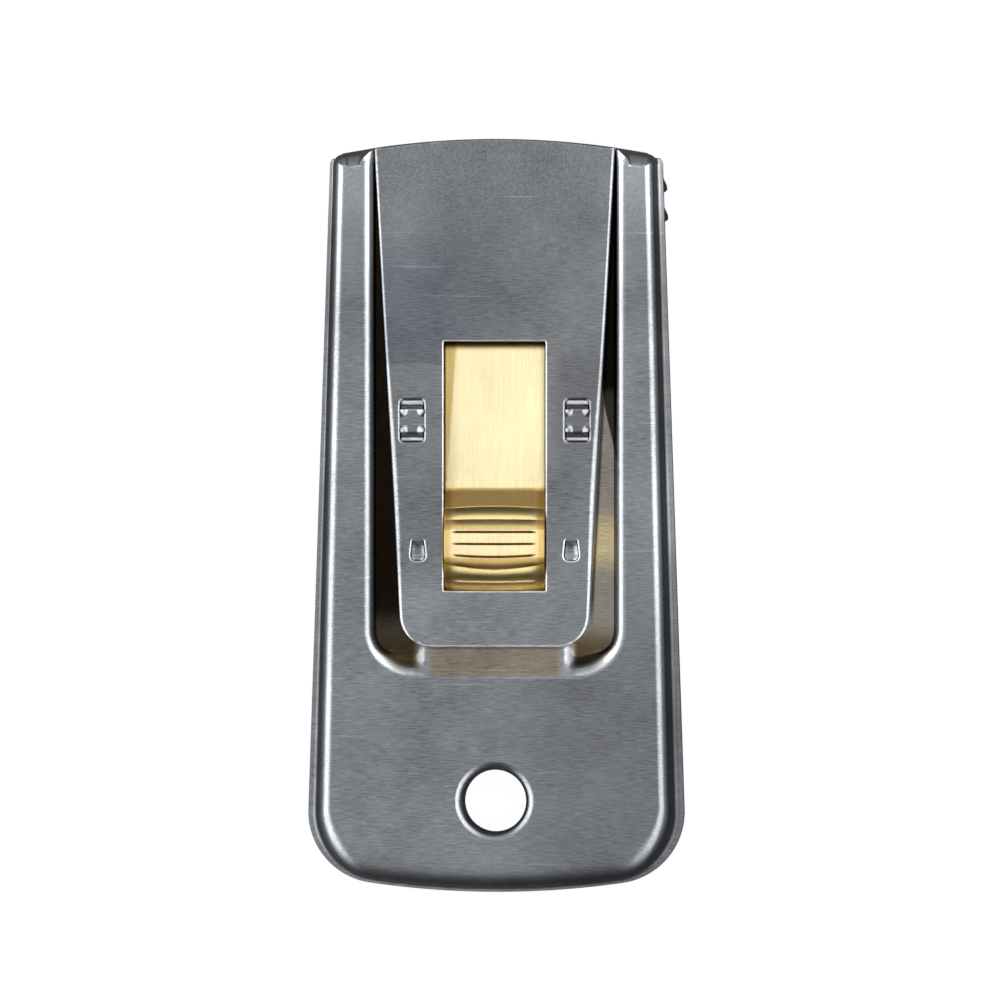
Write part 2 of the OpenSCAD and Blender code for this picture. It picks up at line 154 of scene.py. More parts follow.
base_line = shell_contour(half_middle, side_taper, tail_y, base_tail_corner, mouth_y, base_mouth_corner)
knee_line = shell_contour(
    half_middle - wall_lean, side_taper + wall_lean_taper, tail_y + knee_tail_inset, knee_tail_corner,
    mouth_y - knee_mouth_inset, knee_mouth_corner)
skin_line = shell_contour(
    half_middle - skin_inset, side_taper + skin_inset_taper, tail_y + skin_tail_inset, skin_tail_corner,
    mouth_y - lip_outer, skin_mouth_corner)
lip_start_steps, lip_end_steps = 5, 8
for line, end in ((base_line, arm_tip_x), (knee_line, arm_tip_x), (skin_line, recess_half)):
    start = line[-1].x
    for n in range(1, arm_steps + 1):
        x = start + (end - start) * n / arm_steps
        inset = lip_outer + (lip_run - lip_outer) * ease(n, 0, lip_start_steps)
        inset += (lip_inner - lip_run) * ease(n, arm_steps - lip_end_steps, arm_steps)
        line.append(crown_point(x, inset if line is skin_line else 0))
side_edge = pressed_edge(
    (0, 0), (0.1, 5.5), (0.25, 13.8), (0.45, 25.4), (0.6, 34.8), (0.75, 45.6), (0.9, 59), (1, 72))
tail_edge = pressed_edge((0, 0), (0.5, 12), (0.75, 26), (0.9, 45), (1, 70))
lip_edge = pressed_edge((0, 0), (0.06, 18), (0.2, 25), (0.7, 30), (0.85, 42), (1, 66))
# The wall's foot is in shares of its lean and heights over the shoulder, the hem in runs and heights.
wall_foot = ((0.3, 0.4 * mm), (0.42, 0.1 * mm), (0.95, 0.07 * mm), (1, -0.05 * mm))
hem_fold = ((0, 0.3 * mm), (0.1 * mm, 0.1 * mm), (0.45 * mm, 0), (2.2 * mm, 0))
foot_steps = len(wall_foot) + len(hem_fold)
mouth_corner_at = tail_steps + corner_steps + side_steps + mouth_steps // 2
tail_end, side_start = tail_steps + 2, tail_steps + corner_steps - 4
side_end, lip_start = mouth_corner_at - mouth_steps // 2, mouth_corner_at + mouth_steps // 2
tip_at, tip_steps, tip_share = len(skin_line) - 1, 8, 0.5
stations = []
for n, (skin, knee, base) in enumerate(zip(skin_line, knee_line, base_line)):
    on_tail = 1 - ease(n, tail_end, side_start)
    on_lip = ease(n, side_end, lip_start)
    edge = [blend(blend(a, b, on_tail), c, on_lip) for a, b, c in zip(side_edge, tail_edge, lip_edge)]
    reach = (knee - skin).length * (1 - tip_share * ease(n, tip_at - tip_steps, tip_at))
    row = [(*skin.lerp(knee, run), rim_z - drop * reach) for run, drop in edge]
    if n <= mouth_corner_at:
        inward = (skin - base).normalized()
        row += [(*knee.lerp(base, share), shoulder + height) for share, height in wall_foot]
        row += [(*(base + inward * run), height) for run, height in hem_fold]
    else:
        knee_z = row[-1][2]
        fall = rim_z - lip_deep - knee_z
        row += [(*knee, knee_z + fall * step / foot_steps) for step in range(1, foot_steps + 1)]
    stations.append(row)

recess_edge = pressed_edge((0, 0), (0.08, 6), (0.5, 24), (0.62, 36), (1, 58))
bowl_edge = pressed_edge((0, 0), (0.12, 10), (0.3, 24), (0.5, 30), (0.75, 22), (1, 4))
wall_run, wall_steps, floor_steps, ramp_lip_share = 0.12 * mm, 4, 4, 0.12


def recess_row(start, inward, flat_end, on_ramp=0, soft=0):
    """One section of the recess, from the skin down its edge to the floor, or along the ramp."""
    points = []
    for (run, drop), (soft_run, soft_drop) in zip(recess_edge, bowl_edge):
        sharp = (run * recess_roll, drop * recess_roll)
        points.append(blend(sharp, (soft_run * bowl_run, soft_drop * bowl_run), soft))
    foot, foot_deep = points[-1]
    for n in range(1, wall_steps + 1):
        part = n / wall_steps
        points.append((foot + wall_run * part, foot_deep + (recess_deep - foot_deep) * part))
    foot += wall_run
    points += [(foot + (flat_end - foot) * n / floor_steps, recess_deep) for n in range(1, floor_steps + 1)]
    row = []
    for n, point in enumerate(points):
        part = n / (len(points) - 1)
        slope = recess_deep * ((1 - ramp_lip_share) * part + ramp_lip_share * ease(part, 0, ramp_lip_share))
        reach, drop = blend(point, (ramp_run * part, slope), on_ramp)
        row.append((*(start + inward * reach), rim_z - drop))
    return row


recess = []
turn_hub = Vector((recess_half - recess_corner, recess_heel + recess_corner))
skin_corner, mitre_run, under_plate = skin_line[-1], 1.8 * mm, 1.2 * mm
mitre_steps, mitre_blend, groove_steps, turn_steps, heel_steps = 12, 9, 60, 32, 80
bowl_start, bowl_end, ramp_half = 6, 28, 8.6 * mm
corner_floor_share = 0.98
corner_floor = recess_corner * corner_floor_share
for n in range(mitre_steps + groove_steps + 1):
    y = skin_corner.y - mitre_run * n / mitre_steps
    if n > mitre_steps:
        y = skin_corner.y - mitre_run
        y += (turn_hub.y - y) * (n - mitre_steps) / groove_steps
    under = recess_half - plate_half_middle - plate_taper * y + under_plate
    row = recess_row(Vector((recess_half, y)), Vector((-1, 0)), under)
    back = Vector((0, skin_corner.y - y, 0))
    mitre = [Vector(p) - back for p in stations[-1]]
    recess.append([blend(p, q, ease(n, 0, mitre_blend)) for p, q in zip(mitre, row)])
for n in range(1, turn_steps + 1):
    turn = -pi / 2 * n / turn_steps
    out = Vector((cos(turn), sin(turn)))
    soft = ease(n, bowl_start, bowl_end)
    recess.append(recess_row(turn_hub + out * recess_corner, -out, corner_floor, 0, soft))
for n in range(1, heel_steps + 1):
    start = Vector((turn_hub.x * (1 - n / heel_steps), recess_heel))
    on_ramp = ease(-start.x, -turn_hub.x, -ramp_half)
    recess.append(recess_row(start, Vector((0, 1)), corner_floor, on_ramp, 1))

merge_gap, weld_gap, level_gap, skin_gap = 0.001 * mm, 0.002 * mm, 0.0001 * mm, 0.01 * mm
lip_join = 1.2 * mm
bm = bmesh.new()
strips = draw_along(bm, stations)
loose = [f for f in strips[mouth_corner_at] if f.calc_center_median().z < rim_z - lip_join]
bmesh.ops.delete(bm, geom=loose, context="FACES")
for strip in draw_along(bm, recess):
    for face in strip:
        face.material_index = 1
bmesh.ops.mirror(bm, geom=bm.verts[:] + bm.edges[:] + bm.faces[:], axis="X", merge_dist=merge_gap)
bmesh.ops.remove_doubles(bm, verts=bm.verts[:], dist=weld_gap)
# The collar is in radii and drops, in mm.
collar = [(5.1, 0), (4.95, 0.02), (4.75, 0.08), (4.55, 0.16), (4.38, 0.25), (4.25, 0.35), (4.13, 0.5)]
collar += [(4.03, 0.74), (3.96, 1.1), (3.92, 1.6), (3.9, 2.4), (3.9, 3.7)]
chain = [bm.verts.new(hole + Vector((radius * mm, 0, rim_z - drop * mm))) for radius, drop in collar]
ring = chain + [bm.edges.new(pair) for pair in zip(chain, chain[1:])]
bmesh.ops.spin(bm, geom=ring, cent=hole, axis=(0, 0, 1), angle=2 * pi, steps=hole_sides, use_merge=True)
rim = [e for e in bm.edges if e.is_boundary and all(abs(v.co.z - rim_z) < level_gap for v in e.verts)]
bmesh.ops.triangle_fill(bm, edges=rim, use_beauty=True, normal=(0, 0, 1))
bmesh.ops.recalc_face_normals(bm, faces=bm.faces[:])
skin_up = sum(f.normal.z * f.calc_area() for f in bm.faces if f.calc_center_median().z > rim_z - skin_gap)
if skin_up < 0:
    bmesh.ops.reverse_faces(bm, faces=bm.faces[:])


def finish_piece(name, bm, body, cad_nodes, materials, solid=0):
    """Turns a built mesh into a piece that stands for its nodes and moves with its body."""
    grain_pitch, lift_across, lift_along, sharp_turn = 20, 9, 5, radians(38)
    grain = bm.loops.layers.uv.new("grain")
    for face in bm.faces:
        face.smooth = True
        for loop in face.loops:
            x, y, z = loop.vert.co
            loop[grain].uv = (x * grain_pitch + z * lift_across, y * grain_pitch + z * lift_along)
    for edge in bm.edges:
        edge.smooth = edge.calc_face_angle(0) < sharp_turn
    data = bpy.data.meshes.new(name)
    bm.to_mesh(data)
    bm.free()
    piece = bpy.data.objects.new(name, data)
    bpy.context.scene.collection.objects.link(piece)
    for material in materials:
        data.materials.append(material)
    if solid:
        thick = piece.modifiers.new("thickness", "SOLIDIFY")
        thick.thickness = solid
        thick.offset = -1
    even = piece.modifiers.new("normals", "WEIGHTED_NORMAL")
    even.keep_sharp = True
    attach(piece, body)
    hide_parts(*cad_nodes)


def node(tree, kind, inputs=(), **settings):
    made = tree.nodes.new("ShaderNode" + kind)
    for key, value in settings.items():
        setattr(made, key, value)
    for key, value in dict(inputs).items():
        if isinstance(value, bpy.types.NodeSocket):
            tree.links.new(value, made.inputs[key])
        else:
            made.inputs[key].default_value = value
    return made


def reckon(tree, operation, *values):
    """The result of one sum in a material."""
    return node(tree, "Math", dict(enumerate(values)), operation=operation).outputs[0]


def noise(tree, place, pitch, detail, harsh=0.5):
    inputs = {"Vector": place, "Scale": pitch, "Detail": detail, "Roughness": harsh}
    return node(tree, "TexNoise", inputs).outputs["Fac"]


def scale(tree, value, start, end, low=0.0, high=1.0, **settings):
    """A value's place between start and end, carried over to low and high."""
    inputs = {0: value, 1: start, 2: end, 3: low, 4: high}
    return node(tree, "MapRange", inputs, **settings).outputs[0]


def fade(tree, value, start, end, low=0.0, high=1.0):
    """A smooth step of a value from low at the start to high at the end."""
    return scale(tree, value, start, end, low, high, interpolation_type="SMOOTHSTEP")


def within(tree, value, start, full, late, end):
    """A share that rises from start to full and falls away again from late to end."""
    return fade(tree, value, start, full, 0.0, fade(tree, value, end, late))


def brushed_metal(name, colour, rough, along, pull, blasted=None):
    """Sheet metal with fine brush lines along one axis and cloudy patches, and loose scratches where the
    lines run across. A blasted sheet turns grainy towards the mouth, and paler by that share."""
    crosswise = along == "X"
    line_pitch = (620, 9600, 9600) if crosswise else (6500, 150, 6500)
    lively, cloudy = (1.9, 0.9) if crosswise else (0.35, 0.4)
    line_detail, line_harsh, cloud_pitch, cloud_detail, cloud_harsh = 4, 0.7, 75, 6, 0.62
    speckle_pitch, speckle_detail, speckle_harsh = 3600, 4, 0.8
    blast_start, blast_end, least_blast, most_blast = 27 * mm, 43 * mm, 0.12, 0.8
    scuff_pitch, scuff_turn, scuff_start, scuff_end = (70, 2300, 900), 1.1, 0.72, 0.78
    scuffed = 0.3 if crosswise else 0
    tone_half, dark_share, bright_share, rough_spread = 0.42, 0.4, 1.6, 0.12
    relief, relief_share, quarter_turn = 0.01 * mm, 0.16, 0.25
    material = bpy.data.materials.new(name)
    material.use_nodes = True
    tree = material.node_tree
    shader = tree.nodes["Principled BSDF"]
    place = node(tree, "TexCoord").outputs["Object"]
    lines = node(tree, "Mapping", {"Vector": place, "Scale": line_pitch})
    texture = noise(tree, lines.outputs[0], 1, line_detail, line_harsh)
    haze = noise(tree, place, cloud_pitch, cloud_detail, cloud_harsh)
    if blasted is not None:
        speckle = noise(tree, place, speckle_pitch, speckle_detail, speckle_harsh)
        height = node(tree, "SeparateXYZ", {0: place}).outputs["Y"]
        near = scale(tree, height, blast_start, blast_end, least_blast, most_blast)
        texture = node(tree, "Mix", {"Factor": near, "A": texture, "B": speckle}).outputs["Result"]
        haze = reckon(tree, "MULTIPLY_ADD", near, blasted, haze)
    slant = node(tree, "Mapping", {"Vector": place, "Rotation": (0, 0, scuff_turn), "Scale": scuff_pitch})
    scuff = noise(tree, slant.outputs[0], 1, 1)
    scratch = scale(tree, scuff, scuff_start, scuff_end, 0.0, scuffed)
    tone = reckon(tree, "MULTIPLY_ADD", texture, lively, scratch)
    tone = reckon(tree, "MULTIPLY_ADD", haze, cloudy, tone)
    middle = (lively + cloudy) / 2
    level = scale(tree, tone, middle - tone_half, middle + tone_half, clamp=False)
    paint = node(tree, "Mix", {"Factor": level}, data_type="RGBA", clamp_factor=False)
    paint.inputs["A"].default_value = (*(c * dark_share for c in colour), 1)
    paint.inputs["B"].default_value = (*(c * bright_share for c in colour), 1)
    tree.links.new(paint.outputs["Result"], shader.inputs["Base Color"])
    wear = scale(tree, level, 0.0, 1.0, rough * (1 + rough_spread), rough * (1 - rough_spread))
    tree.links.new(wear, shader.inputs["Roughness"])
    bump = node(tree, "Bump", {"Height": texture, "Strength": relief_share, "Distance": relief})
    tree.links.new(bump.outputs[0], shader.inputs["Normal"])
    way = node(tree, "Tangent", direction_type="UV_MAP", uv_map="grain")
    tree.links.new(way.outputs[0], shader.inputs["Tangent"])
    shader.inputs["Metallic"].default_value = 1
    shader.inputs["Anisotropic"].default_value = pull
    shader.inputs["Anisotropic Rotation"].default_value = quarter_turn if crosswise else 0
    return material


def tint(material, colour, *shares):
    """Multiplies a colour into a material's base colour, by the product of the shares, for plain tints and
    for painted light and shade.
    """
    tree = material.node_tree
    share = shares[0]
    for more in shares[1:]:
        share = reckon(tree, "MULTIPLY", share, more)
    base = tree.nodes["Principled BSDF"].inputs["Base Color"]
    tint_mix = node(tree, "Mix", {"Factor": share}, data_type="RGBA", blend_type="MULTIPLY")
    tree.links.new(base.links[0].from_socket, tint_mix.inputs["A"])
    tint_mix.inputs["B"].default_value = (*colour, 1)
    tree.links.new(tint_mix.outputs["Result"], base)


def spread(material):
    """The X, Y and Z of a place on a piece, for its material."""
    tree = material.node_tree
    return node(tree, "SeparateXYZ", {0: node(tree, "TexCoord").outputs["Object"]}).outputs


casing_colour, casing_rough, casing_pull, mouth_pale = (0.41, 0.43, 0.455), 0.32, 0.42, 0.5
# The next three colours are painted shade on the casing's skin.
right_tail_shade, arm_band_shade, right_flange_shade = (0.7, 0.7, 0.71), (0.82, 0.82, 0.83), (0.75, 0.74, 0.72)
casing_steel = brushed_metal(
    "brushed casing steel", casing_colour, casing_rough, "X", casing_pull, mouth_pale)
tree = casing_steel.node_tree
x, y, z = spread(casing_steel)
# Painted shade: the skin is darker towards the right and the tail.
to_right = fade(tree, x, -9 * mm, 12 * mm)
to_tail = fade(tree, y, 5 * mm, -18 * mm)
tint(casing_steel, right_tail_shade, to_right, to_tail)
# Painted shade: a band across the arms below the mouth is darker.
tint(casing_steel, arm_band_shade, within(tree, y, 20 * mm, 27 * mm, 35 * mm, 41 * mm))
# Painted shade: the foot of the right wall is darker.
at_right_wall = fade(tree, x, 18 * mm, 20 * mm)
under_shoulder = fade(tree, z, shoulder + 0.3 * mm, shoulder)
tint(casing_steel, right_flange_shade, at_right_wall, under_shoulder)

left_groove_shade, left_groove_brown = (0.04, 0.033, 0.028), (1.0, 0.82, 0.6)
ramp_brown, trough_brown = (0.83, 0.68, 0.52), (0.4, 0.31, 0.2)
wall_shade, plate_shade, arm_shade = (0.2, 0.19, 0.18), (0.25, 0.24, 0.23), (0.12, 0.12, 0.12)
mouth_shade, right_floor_warm, painted_gold_reflection = (0.15, 0.15, 0.16), (0.95, 0.84, 0.68), (2.2, 1.9, 1.3)
roll_highlight = (1.7, 1.69, 1.66)
# The recess steel carries painted shade, a painted reflection, a painted highlight and plain tints.
recess_steel = brushed_metal(
    "recess steel with painted light and shade", casing_colour, casing_rough, "X", casing_pull, mouth_pale)
tree = recess_steel.node_tree
x, y, z = spread(recess_steel)
width = reckon(tree, "ABSOLUTE", x)
left = fade(tree, x, 1 * mm, -1 * mm)
right = fade(tree, x, -1 * mm, 1 * mm)
aside = fade(tree, width, 8.6 * mm, 10.2 * mm)
deep = fade(tree, z, rim_z - 0.2 * mm, rim_z - 0.8 * mm)
on_floor = fade(tree, z, rim_z - 0.95 * mm, rim_z - 1.01 * mm)
on_wall = fade(tree, z, rim_z - 1.02 * mm, rim_z - 0.97 * mm, 0.0, deep)
off_heel = fade(tree, y, -19 * mm, -11 * mm, 0.45, 1.0)
# Painted shade: the left groove is darkened almost to black, less so towards the heel, and tinted brown.
tint(recess_steel, left_groove_shade, left, deep, aside, off_heel)
tint(recess_steel, left_groove_brown, left, deep, aside)
tint(recess_steel, wall_shade, right, on_wall, aside)
across = reckon(tree, "MULTIPLY_ADD", y, -plate_taper, x)
beside_plate = fade(tree, across, plate_half_middle + 0.5 * mm, plate_half_middle + 0.2 * mm)
above_trough = fade(tree, y, -15 * mm, -10 * mm)
tint(recess_steel, plate_shade, right, on_floor, beside_plate, above_trough)
# The right groove's floor is tinted warm.
tint(recess_steel, right_floor_warm, right, on_floor)
# Painted reflection: a bright warm patch on the right groove's floor.
gold_reflection_spot = within(tree, y, 1.5 * mm, -2.5 * mm, -4 * mm, -8 * mm)
tint(recess_steel, painted_gold_reflection, right, on_floor, gold_reflection_spot)
in_trough = fade(tree, y, -13 * mm, -17 * mm)
past_crease = fade(tree, width, 9.7 * mm, 10.6 * mm)
trough_deep = fade(tree, z, rim_z - 0.3 * mm, rim_z - 0.75 * mm)
tint(recess_steel, trough_brown, trough_deep, past_crease, in_trough)
shade_edge = fade(tree, y, 16 * mm, 6 * mm, 13.7 * mm, 15.3 * mm)
past_edge = fade(tree, reckon(tree, "SUBTRACT", x, shade_edge), -0.1 * mm, 0.1 * mm)
above_patch = fade(tree, y, 6 * mm, 8 * mm)
tint(recess_steel, arm_shade, right, deep, past_edge, above_patch)
near_mouth = fade(tree, y, 15 * mm, 16.5 * mm)
tint(recess_steel, mouth_shade, right, deep, near_mouth)
on_ramp = fade(tree, y, recess_heel, recess_heel + 0.5 * mm)
between_creases = fade(tree, width, 8.9 * mm, 7.6 * mm)
tint(recess_steel, ramp_brown, on_ramp, between_creases)
# Painted highlight: the recess edge's roll is brightened round the trough's corners.
on_roll = within(tree, z, rim_z, rim_z - 0.06 * mm, rim_z - 0.35 * mm, rim_z - 0.55 * mm)
round_corner = fade(tree, y, -15 * mm, -18 * mm)
tint(recess_steel, roll_highlight, on_roll, past_crease, round_corner)
casing_steels = [casing_steel, recess_steel]
shell_sheet = sheet * thinned_share
finish_piece(
    "front_casing_shell", bm, "casing", ["front_casing"], casing_steels, shell_sheet)

# Back plate: a flat steel sheet that the hem holds, blank but for the hanging hole. Two bent hooks on
# its right edge pass through slots in the casing's wall and show as dark stubs beside the mouth.
back_inset, back_tail_corner, back_mouth_corner = 0.86 * mm, 8.2 * mm, 0.6 * mm
back_hole, back_sheet, back_mouth_steps = 3.97 * mm, 0.75 * mm, 16
hook_long, hook_reach, hook_root, hook_steps = 1.8 * mm, 0.45 * mm, 1.5 * mm, 12
hook_low_round, hook_high_round, hook_setbacks = 0.15 * mm, 0.3 * mm, (5.8 * mm, 9.5 * mm)
hook_rise, hook_fall = (-2, 8), (10, 12.5)
low_share, high_share = 0.8, 0.75
back_line = shell_contour(
    half_middle - back_inset, side_taper, tail_y + back_inset, back_tail_corner,
    mouth_y - back_inset, back_mouth_corner)
back_end = back_line[-1].x
for n in range(1, back_mouth_steps + 1):
    back_line.append(crown_point(back_end * (1 - n / back_mouth_steps), back_inset))
back_line += [Vector((-p.x, p.y)) for p in back_line[-2:0:-1]]
bm = bmesh.new()
chain = [bm.verts.new((*p, back_high.z)) for p in back_line]
for pair in zip(chain, chain[1:] + chain[:1]):
    bm.edges.new(pair)
ring = bmesh.ops.create_circle(bm, segments=hole_sides, radius=back_hole)["verts"]
bmesh.ops.translate(bm, verts=ring, vec=hole + Vector((0, 0, back_high.z)))
bmesh.ops.triangle_fill(bm, edges=bm.edges[:], use_beauty=True, normal=(0, 0, 1))
for setback in hook_setbacks:
    rows = []
    for n in range(hook_steps + 1):
        y = mouth_y - setback + hook_long * (0.5 - n / hook_steps)
        out = hook_reach * (ease(n, *hook_rise) - ease(n, *hook_fall))
        wall = half_middle + side_taper * y
        low, high = back_low.z, back_high.z
        rows.append([
            (wall - hook_root, y, low), (wall + out * low_share, y, low),
            (wall + out, y, low + hook_low_round), (wall + out, y, high - hook_high_round),
            (wall + out * high_share, y, high), (wall - hook_root, y, high)])
    draw_along(bm, rows)
bmesh.ops.recalc_face_normals(bm, faces=bm.faces[:])
# Painted shade: the back plate's steel is near-black, so that the hooks beside the mouth show as dark
# stubs.
back_steel = brushed_metal("back steel darkened as painted shade", colour=(0.05, 0.048, 0.045), rough=0.45, along="X", pull=0.3)
finish_piece("back_plate_sheet", bm, "casing", ["back_plate"], [back_steel], back_sheet)

# Guide plate: a tapered steel plate that lies in the recess over the slide. Its long edges are rolled
# down, the mouth and heel are sheared, and the thumb window is punched out. Two straps beside the
# window and two small tabs below are lanced and pressed down through slots in the casing to hold it.
plate_z, plate_under = plate_high.z, rim_z - recess_deep
heel_y, heel_corner = plate_low.y, 4.2 * mm
side_roll, shear_round = 0.42 * mm, 0.32 * mm
side_swell, swell_y, swell_long = 0.5 * mm, 4 * mm, 13 * mm
window_low, window_high = Vector((-6.45, -9.475)) * mm, Vector((6.45, 22.025)) * mm
window_corner, window_draw, window_turn_steps = 0.15 * mm, 0.2 * mm, 4
plate_edge = pressed_edge((0, 0), (0.08, 6), (0.8, 28), (0.92, 55), (1, 80))
plate_lean = atan2(plate_taper, 1)
heel_hub_y = heel_y + heel_corner
heel_hub_x = plate_half_middle + plate_taper * heel_hub_y - heel_corner / cos(plate_lean)
heel_hub = Vector((heel_hub_x, heel_hub_y))
mouth_edge_steps, plate_side_steps, heel_turn_steps, heel_edge_steps = 16, 45, 18, 12
sheared_highlight_strips = heel_edge_steps + heel_turn_steps // 3


def plate_side(y):
    return Vector((plate_half_middle + plate_taper * y, y))


outline = []
mouth_end = plate_side(crown_point(plate_high.x, 0).y)
for n in range(mouth_edge_steps + 1):
    part = n / mouth_edge_steps
    outline.append((crown_point(mouth_end.x * part, 0), Vector((-side_roll * part, -shear_round))))
for n in range(1, plate_side_steps):
    y = mouth_end.y + (heel_hub_y - mouth_end.y) * n / plate_side_steps
    reach = side_roll + side_swell * exp(-((y - swell_y) / swell_long) ** 2)
    outline.append((plate_side(y), Vector((-reach, 0))))
for n in range(heel_turn_steps + 1):
    turn = -plate_lean - (pi / 2 - plate_lean) * n / heel_turn_steps
    out = Vector((cos(turn), sin(turn)))
    corner_reach = reach + (shear_round - reach) * ease(n, 0, heel_turn_steps - 2)
    outline.append((heel_hub + out * heel_corner, -out * corner_reach))
for n in range(1, heel_edge_steps + 1):
    outline.append((Vector((heel_hub.x * (1 - n / heel_edge_steps), heel_y)), Vector((0, shear_round))))
bm = bmesh.new()
rows = []
for edge, inward in outline:
    row = [(*(edge + inward * (1 - run)), plate_z - drop * inward.length) for run, drop in plate_edge]
    rows.append(row + [(*edge, plate_under)])
# The heel's edge and the end of its corner take the pale sheared steel, partly a painted highlight.
for strip in draw_along(bm, rows)[-sheared_highlight_strips:]:
    for face in strip:
        face.material_index = 1
bmesh.ops.mirror(bm, geom=bm.verts[:] + bm.edges[:] + bm.faces[:], axis="X", merge_dist=merge_gap)


def rounded_loop(middle, half, radius, steps):
    """Points of a rounded rectangle with their outward directions, clockwise from the top right."""
    loop = []
    for start, sign_x, sign_y in ((90, 1, 1), (0, 1, -1), (-90, -1, -1), (-180, -1, 1)):
        hub = middle + Vector((sign_x * (half.x - radius), sign_y * (half.y - radius)))
        for n in range(steps + 1):
            turn = radians(start - 90 * n / steps)
            out = Vector((cos(turn), sin(turn)))
            loop.append((hub + out * radius, out))
    return loop


def punched_hole(bm, loop, reach, low_z):
    """Punches a hole in the plate, whose edge is drawn down over that reach, and returns its faces."""
    rows = []
    for place, out in loop + loop[:1]:
        row = []
        for run, drop in plate_edge:
            row.append((*(place + out * reach * (1 - run)), plate_z - drop * reach * out.length))
        rows.append(row + [(*place, low_z if out.length else plate_z)])
    return [face for strip in draw_along(bm, rows) for face in strip]


window_middle, window_half = (window_low + window_high) / 2, (window_high - window_low) / 2
window_loop = rounded_loop(window_middle, window_half, window_corner, window_turn_steps)
for face in punched_hole(bm, window_loop, window_draw, plate_under):
    face.material_index = 1

strap_place, strap_half = Vector((10.45, 12.03)) * mm, Vector((1.5, 2.68)) * mm
strap_corner, strap_draw, strap_turn_steps, strap_steps, strap_columns = 0.5 * mm, 0.34 * mm, 5, 32, 16
strap_top, strap_foot, strap_broad, strap_pinch = 1.9 * mm, -2.0 * mm, 1.55 * mm, 0.22 * mm
pinch_start, pinch_end = 1.25 * mm, 1.55 * mm
dish_deep, dish_fall, fall_start, fall_end = 0.24 * mm, 0.32 * mm, 1.3 * mm, 2.0 * mm
hook_high, hook_inner, hook_outer = 0.34 * mm, 0.5 * mm, 1.5 * mm
hook_start, hook_full, hook_fade, hook_end = 0.3 * mm, 1.2 * mm, 1.5 * mm, 1.95 * mm
bar_half, bar_end, bar_top, bar_brow, bar_foot = 1.4 * mm, 0.1 * mm, 0.4 * mm, 0.44 * mm, 0.75 * mm
bar_splay, bar_round, strap_bars = 0.04 * mm, 0.08 * mm, ((2.3 * mm, 0.27 * mm), (-2.33 * mm, 0.2 * mm))
bar_face = bar_half - bar_end


def strap_dish(u, v):
    """Depth of a strap at a place across and along it: a shallow dish that falls away at both ends, with
    a raised hook near each of its four corners."""
    fall = dish_fall * ease(abs(v), fall_start, fall_end)
    hook = ease(abs(u), hook_inner, hook_outer) * ease(abs(v), hook_start, hook_full)
    return dish_deep + fall - hook_high * hook * (1 - ease(abs(v), hook_fade, hook_end))


for side in (-1, 1):
    middle = Vector((side * strap_place.x, strap_place.y))
    strap_loop = rounded_loop(middle, strap_half, strap_corner, strap_turn_steps)
    punched_hole(bm, strap_loop, strap_draw, plate_under)
    rows = []
    for n in range(strap_steps + 1):
        v = strap_top + (strap_foot - strap_top) * n / strap_steps
        waist = strap_broad - strap_pinch * ease(abs(v), pinch_start, pinch_end)
        places = [waist * (2 * k / strap_columns - 1) for k in range(strap_columns + 1)]
        rows.append([(*(middle + Vector((u, v))), plate_z - strap_dish(u, v)) for u in places])
    draw_along(bm, rows)
    for v, half_deep in strap_bars:
        rows = []
        for u in (-bar_half, -bar_face, -bar_face / 2, 0, bar_face / 2, bar_face, bar_half):
            top = bar_top + bar_end if abs(u) == bar_half else bar_top
            rise = [(half_deep + bar_splay, bar_foot), (half_deep, bar_brow), (half_deep - bar_round, top)]
            band = rise + [(-y, fall) for y, fall in reversed(rise)]
            rows.append([(*(middle + Vector((u, v + y))), plate_z - fall) for y, fall in band])
        for strip in draw_along(bm, rows):
            for face in strip:
                face.material_index = 1

tab_place, tab_long, tab_arc = Vector((9.7, -2.85)) * mm, 2.02 * mm, 0.8 * mm
tab_root_half, tab_end_half, tab_flare, tab_square = 0.66 * mm, 0.94 * mm, 0.7, 3
tab_draw, tab_wall, flank_steps, arc_steps, tongue_steps = 0.22 * mm, 0.55 * mm, 8, 18, 20
tongue_long, tongue_gap, gap_end = 2.72 * mm, 0.12 * mm, 0.5 * mm
tongue_deep, deep_end, tongue_curl, curl_end = 0.36 * mm, 1.6 * mm, 0.1 * mm, 1 * mm
tongue_lift, lift_start, lift_end = 0.2 * mm, 1.95 * mm, 2.7 * mm
thirds = [k / 3 - 1 for k in range(7)]


def tab_half(v):
    """Half the width of a lanced tab at a distance below its root."""
    if v < tab_long:
        return tab_root_half + (tab_end_half - tab_root_half) * (v / tab_long) ** tab_flare
    return tab_end_half * max(0, 1 - ((v - tab_long) / tab_arc) ** tab_square) ** (1 / tab_square)


for side in (-1, 1):
    root = Vector((side * tab_place.x, tab_place.y))
    loop = [(root + Vector((tab_root_half * u, 0)), Vector((0, 0))) for u in thirds]
    flank = [tab_long * n / flank_steps for n in range(1, flank_steps + 1)]
    loop += [(root + Vector((tab_half(v), -v)), Vector((1, 0))) for v in flank]
    for n in range(1, arc_steps):
        out = Vector((cos(pi * n / arc_steps), -sin(pi * n / arc_steps)))
        square = (abs(out.x) ** tab_square + abs(out.y) ** tab_square) ** (-1 / tab_square)
        end = Vector((tab_end_half * out.x * square, tab_arc * out.y * square - tab_long))
        loop.append((root + end, out))
    loop += [(root + Vector((-tab_half(v), -v)), Vector((-1, 0))) for v in reversed(flank)]
    for face in punched_hole(bm, loop, tab_draw, plate_z - tab_wall):
        face.material_index = 1
    rows = []
    for n in range(tongue_steps + 1):
        v = tongue_long * n / tongue_steps
        half = tab_half(v) - tongue_gap * ease(v, 0, gap_end)
        fall = tongue_deep * ease(v, 0, deep_end) - tongue_lift * ease(v, lift_start, lift_end)
        curl = tongue_curl * ease(v, 0, curl_end)
        rows.append([(*(root + Vector((half * u, -v))), plate_z - fall - curl * u * u) for u in thirds])
    draw_along(bm, rows)

